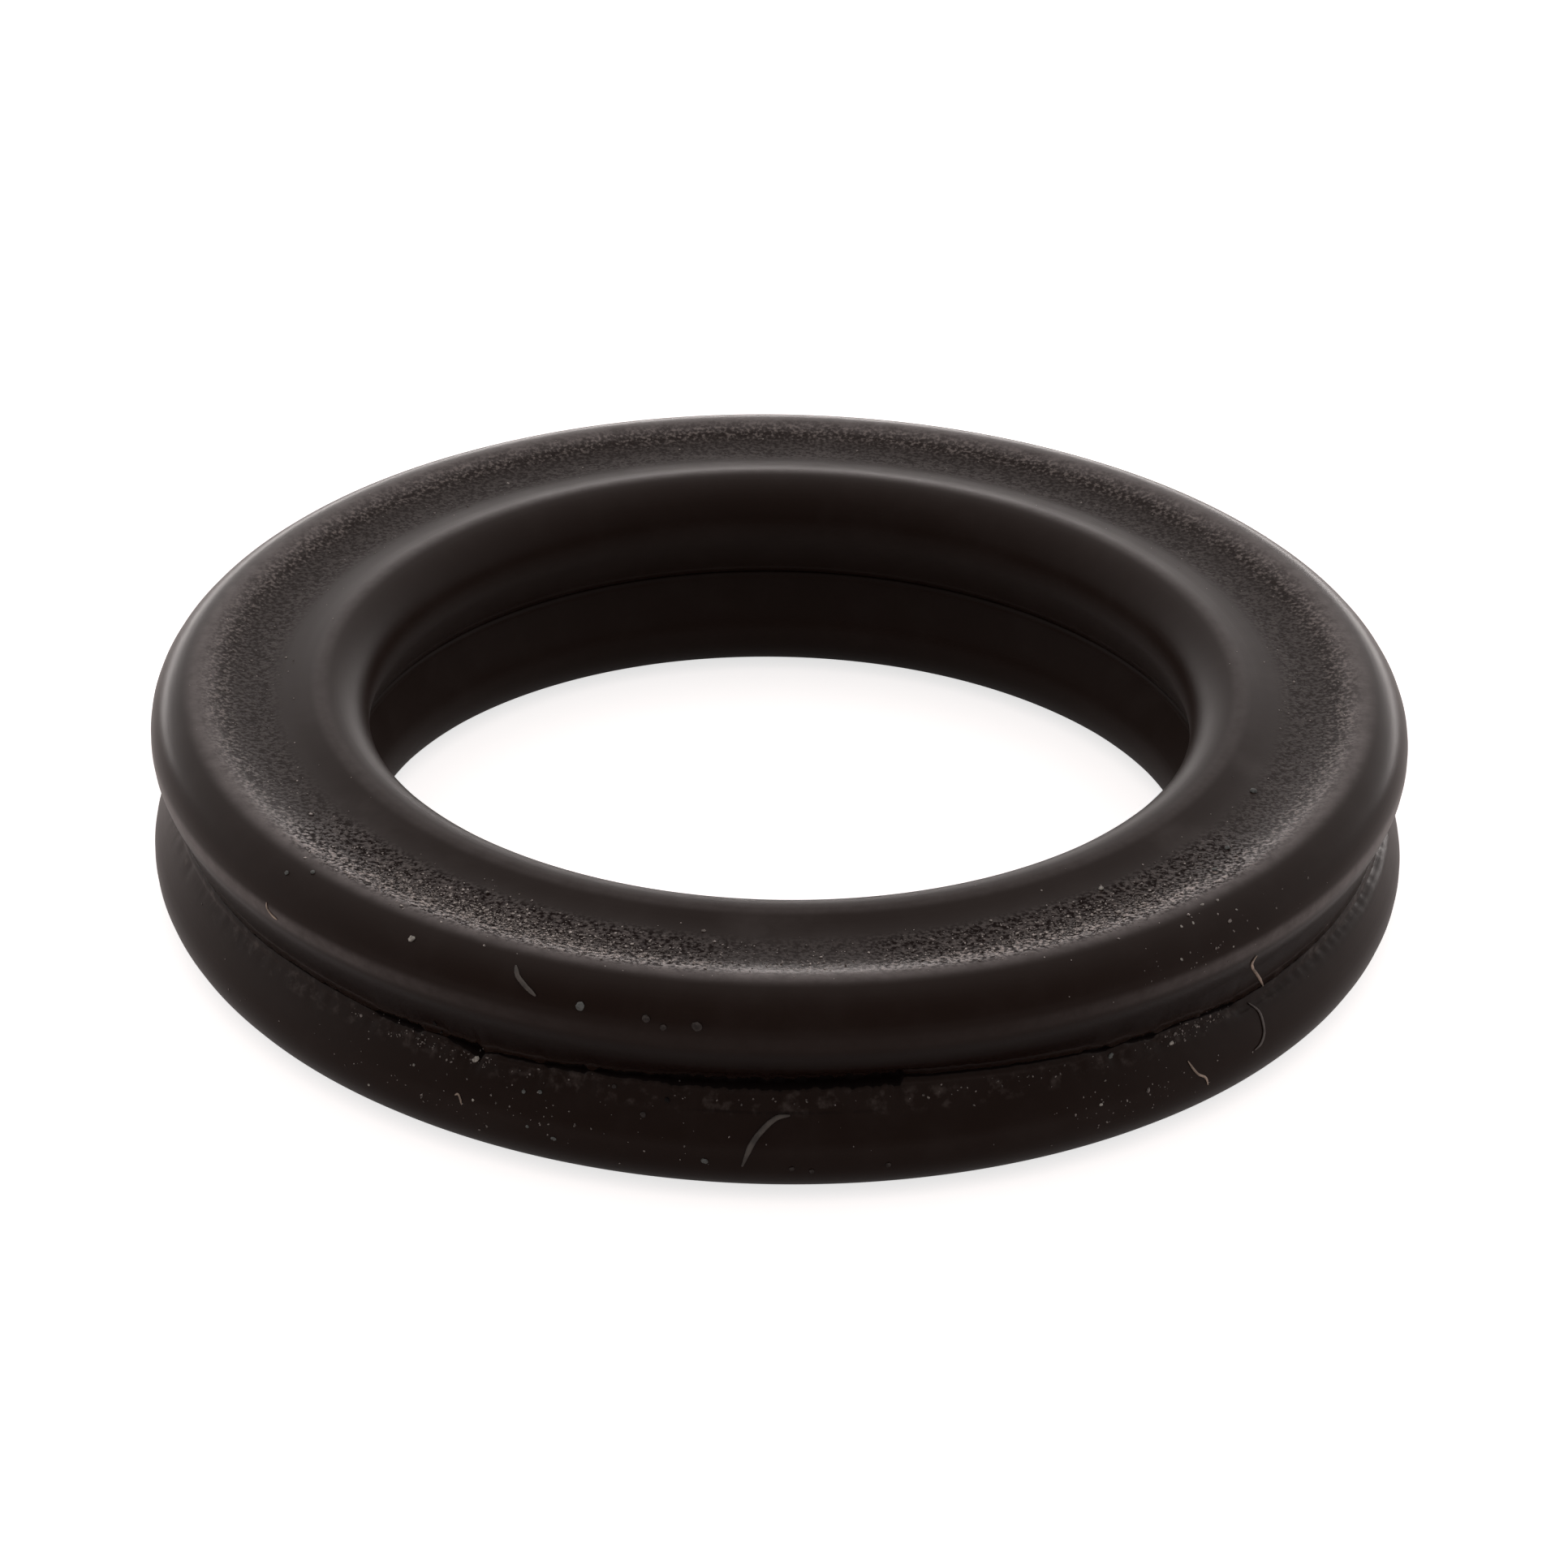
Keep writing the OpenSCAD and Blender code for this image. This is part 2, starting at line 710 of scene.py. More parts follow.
@dataclass(frozen=True)
class Fibre:
    """One lint fibre that lies on the ring.

    The path's points are azimuths in degrees, each with a height on the side
    or a radius on top, in millimetres. The tip is the share of the width that
    its ends keep, the taper is how fast it gains the rest, and the rise is how
    far its middle stands off the ring, as a share of the width.
    """

    name: str
    facing: Facing
    path: tuple[tuple[float, float], ...]
    width: float
    finish: "FibreFinish"
    stations: int = 22
    sides: int = 8
    tip: float = 0.35
    taper: float = 5.0
    uneven: float = 0.12
    uneven_scale: float = 2500.0
    flatness: float = 0.6
    rise: float = 0.28

    def _points(self, skin: Skin) -> list[tuple[Vector, Vector]]:
        """Points along the fibre, and the ring's normal at each of them.

        Args:
            skin: The surface that the fibre lies on.

        Returns:
            The points and the normals, from one end to the other.
        """
        found = []
        for index in range(self.stations):
            along = index / (self.stations - 1) * (len(self.path) - 1)
            first = min(int(along), len(self.path) - 2)
            share = along - first
            before = self.path[max(first - 1, 0)]
            here, there = self.path[first], self.path[first + 1]
            after = self.path[min(first + 2, len(self.path) - 1)]
            place = [catmull(*four, share) for four in zip(before, here, there, after)]
            found.append(skin.at(self.facing, place[0], place[1] * MM))
        return found

    def build(self, skin: Skin) -> bpy.types.Object:
        """Sweeps a flattened round along the fibre's path.

        Args:
            skin: The surface that the fibre lies on.

        Returns:
            The fibre as one closed mesh.
        """
        points = self._points(skin)
        bm = bmesh.new()
        ring = bmesh.ops.create_circle(
            bm, cap_ends=True, radius=self.width / 2, segments=self.sides
        )["verts"]
        face = bm.faces[:][0]
        placed = Matrix.Identity(4)
        for index, (point, normal) in enumerate(points):
            ahead = points[min(index + 1, len(points) - 1)][0]
            behind = points[max(index - 1, 0)][0]
            along = (ahead - behind).normalized()
            across = normal.cross(along).normalized()
            up = along.cross(across)
            share = index / (len(points) - 1)
            grown_to = min(1.0, self.taper * share, self.taper * (1.0 - share))
            slim = self.tip + (1.0 - self.tip) * grown_to
            slim *= 1.0 + self.uneven * noise.noise(point * self.uneven_scale)
            lie = Matrix((across, up, along)).transposed().to_4x4()
            size = Matrix.Diagonal((slim, slim * self.flatness, 1.0, 1.0))
            target = Matrix.Translation(point + up * self.width * self.rise) @ lie @ size
            if index:
                grown = bmesh.ops.extrude_face_region(bm, geom=[face])["geom"]
                ring = [item for item in grown if isinstance(item, bmesh.types.BMVert)]
                old, face = face, next(i for i in grown if isinstance(i, bmesh.types.BMFace))
                if index > 1:
                    bmesh.ops.delete(bm, geom=[old], context="FACES_ONLY")
            bmesh.ops.transform(bm, matrix=target @ placed.inverted(), verts=ring)
            placed = target
        bmesh.ops.recalc_face_normals(bm, faces=bm.faces[:])
        return finish_piece(self.name, bm, self.finish.material())


@dataclass(frozen=True)
class Drift:
    """A stretch of the surface with scattered dust grains.

    The grains gather about an azimuth in degrees, and about a height on the
    side or a radius on top, in millimetres. The size is that of most grains,
    in metres.
    """

    facing: Facing
    count: int
    azimuth: float
    azimuth_spread: float
    where: float
    where_spread: float
    size: float


@dataclass(frozen=True)
class Speck:
    """One speck that stands out.

    It lies at an azimuth in degrees, and at a height on the side or a radius
    on top. That and its size are in millimetres.
    """

    facing: Facing
    azimuth: float
    where: float
    size: float
    stretch: float = 1.0


@dataclass
class Dust:
    """Loose dust on the ring, laid grain by grain.

    The jag is how far a grain's corners stray, as a share of its height. Its
    length and its height are shares of its width, and the rise is the share of
    its height by which its middle stands off the ring.
    """

    name: str
    finish: "DustFinish"
    seed: int
    jag: float = 0.40
    size_spread: float = 0.42
    lengths: Span = (0.9, 1.7)
    heights: Span = (0.3, 0.6)
    speck_height: float = 0.4
    rise: float = 0.3

    def _lay(
        self,
        bm: bmesh.types.BMesh,
        place: tuple[Vector, Vector],
        size: Vector,
        draw: random.Random,
    ) -> None:
        """Lays one grain, a jagged lump of a few faces.

        Args:
            bm: The mesh that the grain is added to.
            place: A point of the surface, and the normal there.
            size: The grain's length, width and height.
            draw: The source of chance.
        """
        point, normal = place
        lie = normal.to_track_quat("Z", "Y").to_matrix().to_4x4()
        spin = Euler((0, 0, draw.uniform(0, 2 * math.pi))).to_matrix().to_4x4()
        rest = Matrix.Translation(point + normal * size.z * self.rise)
        matrix = rest @ lie @ spin @ Matrix.Diagonal((*size, 1.0))
        lump = bmesh.ops.create_icosphere(bm, subdivisions=1, radius=0.5, matrix=matrix)
        for vert in lump["verts"]:
            vert.co += Vector([draw.uniform(-self.jag, self.jag) * size.z for _ in range(3)])

    def drifts(self, skin: Skin, drifts: Sequence[Drift]) -> bpy.types.Object:
        """Scatters small grains over stretches of the surface.

        Args:
            skin: The surface that they lie on.
            drifts: The stretches.

        Returns:
            All the grains as one piece.
        """
        draw = random.Random(self.seed)
        whole = bmesh.new()
        batch = bpy.data.meshes.new(self.name + "_batch")
        for drift in drifts:
            bm = bmesh.new()
            for _ in range(drift.count):
                azimuth = draw.gauss(drift.azimuth, drift.azimuth_spread)
                where = draw.gauss(drift.where, drift.where_spread)
                size = drift.size * draw.lognormvariate(0.0, self.size_spread)
                length = size * draw.uniform(*self.lengths)
                shape = Vector((length, size, size * draw.uniform(*self.heights)))
                place = skin.at(drift.facing, azimuth, where * MM)
                if place[0] is not None:
                    self._lay(bm, place, shape, draw)
            bm.to_mesh(batch)
            bm.free()
            whole.from_mesh(batch)
        bpy.data.meshes.remove(batch)
        return finish_piece(self.name, whole, self.finish.material())

    def specks(self, skin: Skin, specks: Sequence[Speck]) -> bpy.types.Object:
        """Lays single specks, each a low rounded flake.

        Args:
            skin: The surface that they lie on.
            specks: The specks.

        Returns:
            All the specks as one piece.
        """
        draw = random.Random(self.seed)
        bm = bmesh.new()
        for speck in specks:
            place = skin.at(speck.facing, speck.azimuth, speck.where * MM)
            size = speck.size * MM
            shape = Vector((size * speck.stretch, size, size * self.speck_height))
            self._lay(bm, place, shape, draw)
        bmesh.ops.subdivide_edges(bm, edges=bm.edges[:], cuts=1, smooth=1.0, use_grid_fill=True)
        return finish_piece(self.name, bm, self.finish.material())


# --------------------------------------------------------------------------
# Finishes
# --------------------------------------------------------------------------


@dataclass(frozen=True)
class Zone:
    """A band of radii or of heights: full about its middle, with soft edges."""

    middle: float
    half_width: float
    soft: float

    def over(self, value: Sock, base: float = 0.0) -> Sock:
        """1 where a value, counted from base, is in the band, and 0 well outside it."""
        return value.band(base + self.middle, self.half_width, self.soft)


@dataclass(frozen=True)
class Stretch:
    """A stretch of the ring: full within near degrees of an azimuth, gone at far."""

    azimuth: float
    near: float
    far: float


class Ground:
    """Where a point of the ring lies, and the noises that its finish is made of.

    The top begins at a height above the middle plane, and the side at a radius.
    """

    top_from: Span = (0.9 * MM, 1.2 * MM)
    side_from: Span = (9.6 * MM, 9.9 * MM)
    cloud_size: float = 0.9 * MM
    mottle_size: float = 2.2 * MM
    patch_size: float = 0.25 * MM
    skin_size: float = 0.03 * MM

    def __init__(self, shader: Shader, sizes: RingSizes, grit_size: float) -> None:
        """Adds the nodes that every part of the finish reads.

        Args:
            shader: The shader that the nodes are added to.
            sizes: The ring's sizes.
            grit_size: How large the grit of the dish is.
        """
        place = shader.place()
        x, y, self.height = shader.parts(place)
        self.radius = (x * x + y * y).sqrt()
        self.flat = (x / self.radius, y / self.radius)
        self.middle = sizes.half
        self.upper_lobe = sizes.half + sizes.lobe_c
        self.root = sizes.ring_r + sizes.root_c - sizes.root_r
        self.top = self.height.ramp(*(self.middle + height for height in self.top_from))
        self.side = self.radius.ramp(*self.side_from)
        self.cloud = shader.grain(place, self.cloud_size, 3.0, 0.6)
        self.mottle = shader.grain(place, self.mottle_size, 2.0, 0.5)
        self.patchy = shader.grain(place, self.patch_size, 3.0, 0.6)
        self.grit = shader.grain(place, grit_size, 2.0, 0.6)
        self.skin = shader.grain(place, self.skin_size, 2.0, 0.5)

    def toward(self, stretch: Stretch) -> Sock:
        """1 in the middle of a stretch of the ring, falling to 0 beyond it.

        Args:
            stretch: The stretch.

        Returns:
            The share of the stretch at each point.
        """
        turn = math.radians(stretch.azimuth)
        facing = self.flat[0] * math.cos(turn) + self.flat[1] * math.sin(turn)
        far, near = math.radians(stretch.far), math.radians(stretch.near)
        return facing.ramp(math.cos(far), math.cos(near))


@dataclass(frozen=True)
class DishGrit:
    """The gritty floor of the dish, roughest along two stretches of the front."""

    size: float = 0.070 * MM
    depth: float = 0.026 * MM
    zone: Zone = Zone(9.02 * MM, 0.40 * MM, 0.40 * MM)
    left: Stretch = Stretch(-121.0, 9.0, 34.0)
    right: Stretch = Stretch(-57.0, 8.0, 30.0)
    elsewhere: float = 0.3
    clouds: Span = (0.2, 0.5)
    thinnest: float = 0.6
    # The pit levels, gain and share set the painted shade in the hollows of the grit.
    pit_levels: Span = (0.53, 0.40)
    pit_gain: float = 1.7
    pit_share: float = 0.8

    def cover(self, at: Ground) -> Sock:
        """How gritty the surface is, from 0 to 1.

        Args:
            at: The ground of the finish.

        Returns:
            The share of grit.
        """
        rough = at.toward(self.left).most(at.toward(self.right)).most(self.elsewhere)
        cloud = at.cloud.ramp(*self.clouds, self.thinnest, 1.0)
        return self.zone.over(at.radius) * at.top * rough * cloud

    def pit_shade(self, at: Ground, gritty: Sock) -> Sock:
        """How far painted shade, a near-black matt finish, fills the hollows between the grains.
        """
        hollow = at.grit.ramp(*self.pit_levels)
        return hollow * (gritty * self.pit_gain).least(1.0) * self.pit_share


@dataclass(frozen=True)
class BloomAndHighlight:
    """Painted highlights on the crests, a painted reflection of the floor along the upper brim,
    and pale mottles of bloom about the dish.
    """

    # The outer and inner zones hold a painted highlight on the crests; the brim zone holds a
    # painted reflection of the floor.
    outer: Zone = Zone(9.62 * MM, 0.08 * MM, 0.28 * MM)
    inner: Zone = Zone(7.66 * MM, 0.04 * MM, 0.16 * MM)
    inner_share: float = 0.3
    brim: Zone = Zone(-0.03 * MM, 0.04 * MM, 0.14 * MM)
    brim_from: Span = (10.2 * MM, 10.3 * MM)
    brim_facing: Span = (-1.0, -0.60)
    brim_shares: Span = (0.06, 0.90)
    patches: Span = (0.1, 0.8)
    patch_shares: Span = (0.4, 0.9)
    dish: Zone = Zone(8.66 * MM, 0.7 * MM, 0.3 * MM)
    mottles: Span = (0.42, 0.70)
    clouds: Span = (0.3, 0.7)
    dish_share: float = 0.16

    def crest_and_brim_highlight(self, at: Ground) -> Sock:
        """The painted highlight on the crests, and the painted reflection on the brim, which is
        strongest at the sides.

        Args:
            at: The ground of the finish.

        Returns:
            The share of painted highlight.
        """
        inner = self.inner.over(at.radius) * self.inner_share
        crest = self.outer.over(at.radius).most(inner) * at.top
        brim = self.brim.over(at.height, at.upper_lobe) * at.radius.ramp(*self.brim_from)
        # The painted reflection on the brim is faint at the front and strong at the sides.
        brim = brim * at.flat[1].ramp(*self.brim_facing, *self.brim_shares)
        return crest.most(brim) * at.patchy.ramp(*self.patches, *self.patch_shares)

    def mottling(self, at: Ground) -> Sock:
        """How pale the large soft mottles of the dish are."""
        mottle = at.mottle.ramp(*self.mottles) * at.cloud.ramp(*self.clouds)
        return mottle * self.dish.over(at.radius) * at.top * self.dish_share


@dataclass(frozen=True)
class DustFilmAndHighlight:
    """The film of dust on the grit of the dish and on the ledge below the crease; where it gathers
    near the outer crest it is dust and a painted highlight.
    """

    levels: Span = (0.51, 0.66)
    thin: float = 0.22
    # Thicker film near the outer crest: dust, and a painted highlight where the grit dims the
    # sheen.
    gathered_dust_and_highlight: Zone = Zone(9.38 * MM, 0.08 * MM, 0.30 * MM)
    gathered_gain: float = 1.1
    ledge: Zone = Zone(-0.20 * MM, 0.10 * MM, 0.14 * MM)
    patches: Span = (0.5, 0.75)
    ledge_share: float = 0.15
    share: float = 0.8

    def cover(self, at: Ground, gritty: Sock) -> Sock:
        """How thick the film is.

        Args:
            at: The ground of the finish.
            gritty: How gritty the dish is.

        Returns:
            The share of dust, and near the crest of painted highlight, from 0 to 1.
        """
        gathered_dust_and_highlight = self.gathered_dust_and_highlight.over(at.radius) * at.top
        film = at.grit.ramp(*self.levels) * gritty * (self.thin + gathered_dust_and_highlight * self.gathered_gain)
        ledge = self.ledge.over(at.height, at.middle) * at.side
        film = film.most(ledge * at.patchy.ramp(*self.patches) * self.ledge_share)
        return film * self.share


@dataclass(frozen=True)
class CreaseShadeAndScratch:
    """Painted shade in the torn crease and on the down-facing wall above it, and a dark scratch
    below it.
    """

    lip: Span = (-0.004 * MM, -0.02 * MM)
    outside: Span = (9.60 * MM, 9.65 * MM)
    crack_zone: Zone = Zone(0.0, 0.5 * MM, 0.1 * MM)
    scratch_zone: Zone = Zone(1.47 * MM, 0.012 * MM, 0.02 * MM)
    scratched: Stretch = Stretch(-89.0, 6.0, 10.0)
    scratch_patches: Span = (0.3, 0.5)
    scratch_share: float = 0.4
    # Painted shade on the down-facing wall above the crease.
    flank_shade_zone: Zone = Zone(0.50 * MM, 0.25 * MM, 0.20 * MM)
    flank_shade_from: Span = (9.5 * MM, 9.6 * MM)
    flank_shade_share: float = 0.6

    def crack(self, at: Ground) -> Sock:
        """1 inside the outer crease, and 0 outside it.

        Args:
            at: The ground of the finish.

        Returns:
            The share of the crease.
        """
        # The inside of the crease is darkened as painted shade.
        inside = at.radius.ramp(*(at.root + depth for depth in self.lip))
        inside = inside * at.radius.ramp(*self.outside)
        return inside * self.crack_zone.over(at.height, at.middle)

    def scratch(self, at: Ground) -> Sock:
        """How dark the fine scratch at the front is."""
        line = self.scratch_zone.over(at.height) * at.toward(self.scratched)
        return line * at.side * at.patchy.ramp(*self.scratch_patches) * self.scratch_share

    def flank_shade(self, at: Ground) -> Sock:
        """How much painted shade darkens the down-facing wall above the crease."""
        wall = self.flank_shade_zone.over(at.height, at.middle) * at.radius.ramp(*self.flank_shade_from)
        return wall * self.flank_shade_share


@dataclass(frozen=True)
class SealRubber:
    """Black moulded rubber: smooth lobes, a gritty dish and a torn crease, with painted shade in
    the crease, above it and in the grit, and painted highlights on the crests and brim.
    """

    sizes: RingSizes
    rubber: Colour = (0.0110, 0.0050, 0.0031)
    greyed: Colour = (0.022, 0.0150, 0.0128)
    # Pale tone of the painted crest highlight and brim reflection, and of the dish's mottles.
    bloom_and_highlight_tone: Colour = (0.115, 0.100, 0.097)
    # Pale dust; near the outer crest it also serves as a painted highlight.
    dust: Colour = (0.30, 0.255, 0.235)
    # Near-black tone of the painted shade in the crease, on the wall above it and in the grit's
    # hollows, and of the dark scratch.
    shade_and_scratch_dark: Colour = (0.0035, 0.0008, 0.0005)
    grey_clouds: Span = (0.4, 0.8)
    grey_share: float = 0.3
    grey_grit: float = 0.7
    ior: float = 1.2
    lobe_rough: float = 0.30
    grit_rough: float = 0.12
    crack_rough: float = 0.4
    cloud_rough: float = 0.08
    inner_rough: float = 0.14
    inner_from: Span = (8.4 * MM, 8.0 * MM)
    line_size: float = 0.06 * MM
    line_depth: float = 0.0010 * MM
    skin_depth: float = 0.0008 * MM
    grit: DishGrit = DishGrit()
    bloom_and_highlight: BloomAndHighlight = BloomAndHighlight()
    film: DustFilmAndHighlight = DustFilmAndHighlight()
    crease: CreaseShadeAndScratch = CreaseShadeAndScratch()

    def _colour(self, n: Shader, at: Ground, gritty: Sock, crack: Sock) -> Sock:
        """Lays the tones over each other, from the bare rubber to the painted shade in the crease
        and the dark scratch.

        Args:
            n: The shader.
            at: The ground of the finish.
            gritty: How gritty the dish is.
            crack: 1 inside the torn crease.

        Returns:
            The colour.
        """
        grey = (at.cloud.ramp(*self.grey_clouds) * self.grey_share).most(gritty * self.grey_grit)
        colour = n.mix(self.rubber, self.greyed, grey)
        # Painted highlight on the crests and painted reflection along the brim.
        colour = n.mix(colour, self.bloom_and_highlight_tone, self.bloom_and_highlight.crest_and_brim_highlight(at))
        colour = n.mix(colour, self.bloom_and_highlight_tone, self.bloom_and_highlight.mottling(at))
        # Painted shade on the wall above the crease.
        colour = n.mix(colour, self.shade_and_scratch_dark, self.crease.flank_shade(at))
        # Dust film, with a painted highlight where it gathers near the crest.
        colour = n.mix(colour, self.dust, self.film.cover(at, gritty))
        # Painted shade in the crease, and the dark scratch.
        return n.mix(colour, self.shade_and_scratch_dark, crack.most(self.crease.scratch(at)))

    def _roughness(self, at: Ground, gritty: Sock, crack: Sock) -> Sock:
        """Dulls the rubber in the grit, in the crease and on the inner lobe.

        Args:
            at: The ground of the finish.
            gritty: How gritty the dish is.
            crack: 1 inside the torn crease.

        Returns:
            The roughness.
        """
        rough = self.lobe_rough + gritty * self.grit_rough + crack * self.crack_rough
        rough = rough + (at.cloud - 0.5) * self.cloud_rough
        return rough + at.radius.ramp(*self.inner_from, 0.0, self.inner_rough)

    def _relief(self, n: Shader, at: Ground, gritty: Sock) -> Sock:
        """Raises the fine lines round the ring, the rubber's skin and the grit.

        Args:
            n: The shader.
            at: The ground of the finish.
            gritty: How gritty the dish is.

        Returns:
            The bumped normal.
        """
        rings = n.add("ShaderNodeCombineXYZ", {}, {0: at.radius, 2: at.height})
        normal = n.bump(n.grain(rings, self.line_size, 2.0, 0.5), self.line_depth)
        normal = n.bump(at.skin, self.skin_depth, normal)
        return n.bump(at.grit * gritty, self.grit.depth, normal)

    def material(self) -> bpy.types.Material:
        """Builds the node tree.

        Returns:
            The material.
        """
        made = bpy.data.materials.new("seal_rubber")
        n = Shader(made)
        at = Ground(n, self.sizes, self.grit.size)
        gritty, crack = self.grit.cover(at), self.crease.crack(at)
        relief = self._relief(n, at, gritty)
        sheen = n.add(
            "ShaderNodeBsdfPrincipled",
            {},
            {
                "Base Color": self._colour(n, at, gritty, crack),
                "Roughness": self._roughness(at, gritty, crack),
                "IOR": self.ior,
                "Normal": relief,
            },
        )
        # Painted shade in the grit's hollows: a near-black matt finish mixed in.
        shade_diffuse = n.add("ShaderNodeBsdfDiffuse", {}, {"Color": self.shade_and_scratch_dark, "Normal": relief})
        pit_shade = self.grit.pit_shade(at, gritty)
        n.surface(n.add("ShaderNodeMixShader", {}, {0: pit_shade, 1: sheen, 2: shade_diffuse}))
        return made


@dataclass(frozen=True)
class DustFinish:
    """Mineral dust, uneven in tone from grain to grain."""

    name: str
    dark: Colour = (0.050, 0.042, 0.038)
    pale: Colour = (0.50, 0.45, 0.42)
    tone_size: float = 0.05 * MM
    tones: Span = (0.3, 0.72)
    fine_size: float = 0.02 * MM
    rough: float = 0.65
    rough_spread: float = 0.3
    ior: float = 1.3

    def material(self) -> bpy.types.Material:
        """Builds the node tree.

        Returns:
            The material.
        """
        made = bpy.data.materials.new(self.name)
        n = Shader(made)
        place = n.place()
        tone = n.grain(place, self.tone_size, 2.0, 0.6).ramp(*self.tones)
        fine = n.grain(place, self.fine_size)
        shader = n.add(
            "ShaderNodeBsdfPrincipled",
            {},
            {
                "Base Color": n.mix(self.dark, self.pale, tone),
                "Roughness": self.rough + fine * self.rough_spread,
                "IOR": self.ior,
            },
        )
        n.surface(shader)
        return made


@dataclass(frozen=True)
class FibreFinish:
    """Lint, with a tone that changes along it and fine streaks."""

    name: str
    pale: Colour
    deep: Colour
    tone_size: float = 0.25 * MM
    tones: Span = (0.3, 0.7)
    streak_size: float = 0.02 * MM
    streak_depth: float = 0.002 * MM
    rough: float = 0.45
    rough_spread: float = 0.3
    ior: float = 1.4

    def material(self) -> bpy.types.Material:
        """Builds the node tree.

        Returns:
            The material.
        """
        made = bpy.data.materials.new(self.name)
        n = Shader(made)
        place = n.place()
        tone = n.grain(place, self.tone_size, 2.0, 0.5).ramp(*self.tones)
        streak = n.grain(place, self.streak_size, 2.0, 0.5)
        shader = n.add(
            "ShaderNodeBsdfPrincipled",
            {},
            {
                "Base Color": n.mix(self.deep, self.pale, tone),
                "Roughness": self.rough + streak * self.rough_spread,
                "IOR": self.ior,
                "Normal": n.bump(streak, self.streak_depth),
            },
        )
        n.surface(shader)
        return made


# --------------------------------------------------------------------------
# Studio
# --------------------------------------------------------------------------


@dataclass(frozen=True)
class View:
    """The camera, which looks from the front at the middle of the ring's foot.

    The yaw and the pitch are slopes, and the roll an angle, by which it is
    then turned. The lens and the sensor are in millimetres.
    """

    distance: float = 105.17 * MM
    elevation: float = math.radians(30.105)
    yaw: float = 0.00087
    pitch: float = 0.01277
    roll: float = 0.01805
    lens: float = 142.44
    sensor: float = 36.0
    nearest: float = 0.005
    farthest: float = 20.0

    def build(self) -> bpy.types.Object:
        """Creates the camera and makes it the scene's own.

        Returns:
            The camera.
        """
        data = bpy.data.cameras.new("camera")
        data.lens, data.sensor_width = self.lens, self.sensor
        data.clip_start, data.clip_end = self.nearest, self.farthest
        camera = bpy.data.objects.new("camera", data)
        bpy.context.scene.collection.objects.link(camera)
        stand = Vector((0, -math.cos(self.elevation), math.sin(self.elevation)))
        ahead = -stand
        right = ahead.cross(Vector((0, 0, 1))).normalized()
        up = right.cross(ahead)
        ahead = (ahead + right * self.yaw + up * self.pitch).normalized()
        right = ahead.cross(up).normalized()
        up = right.cross(ahead)
        turned = Matrix((right, up, -ahead)).transposed().to_4x4()
        rolled = Matrix.Rotation(self.roll, 4, "Z")
        camera.matrix_world = Matrix.Translation(stand * self.distance) @ turned @ rolled
        bpy.context.scene.camera = camera
        return camera


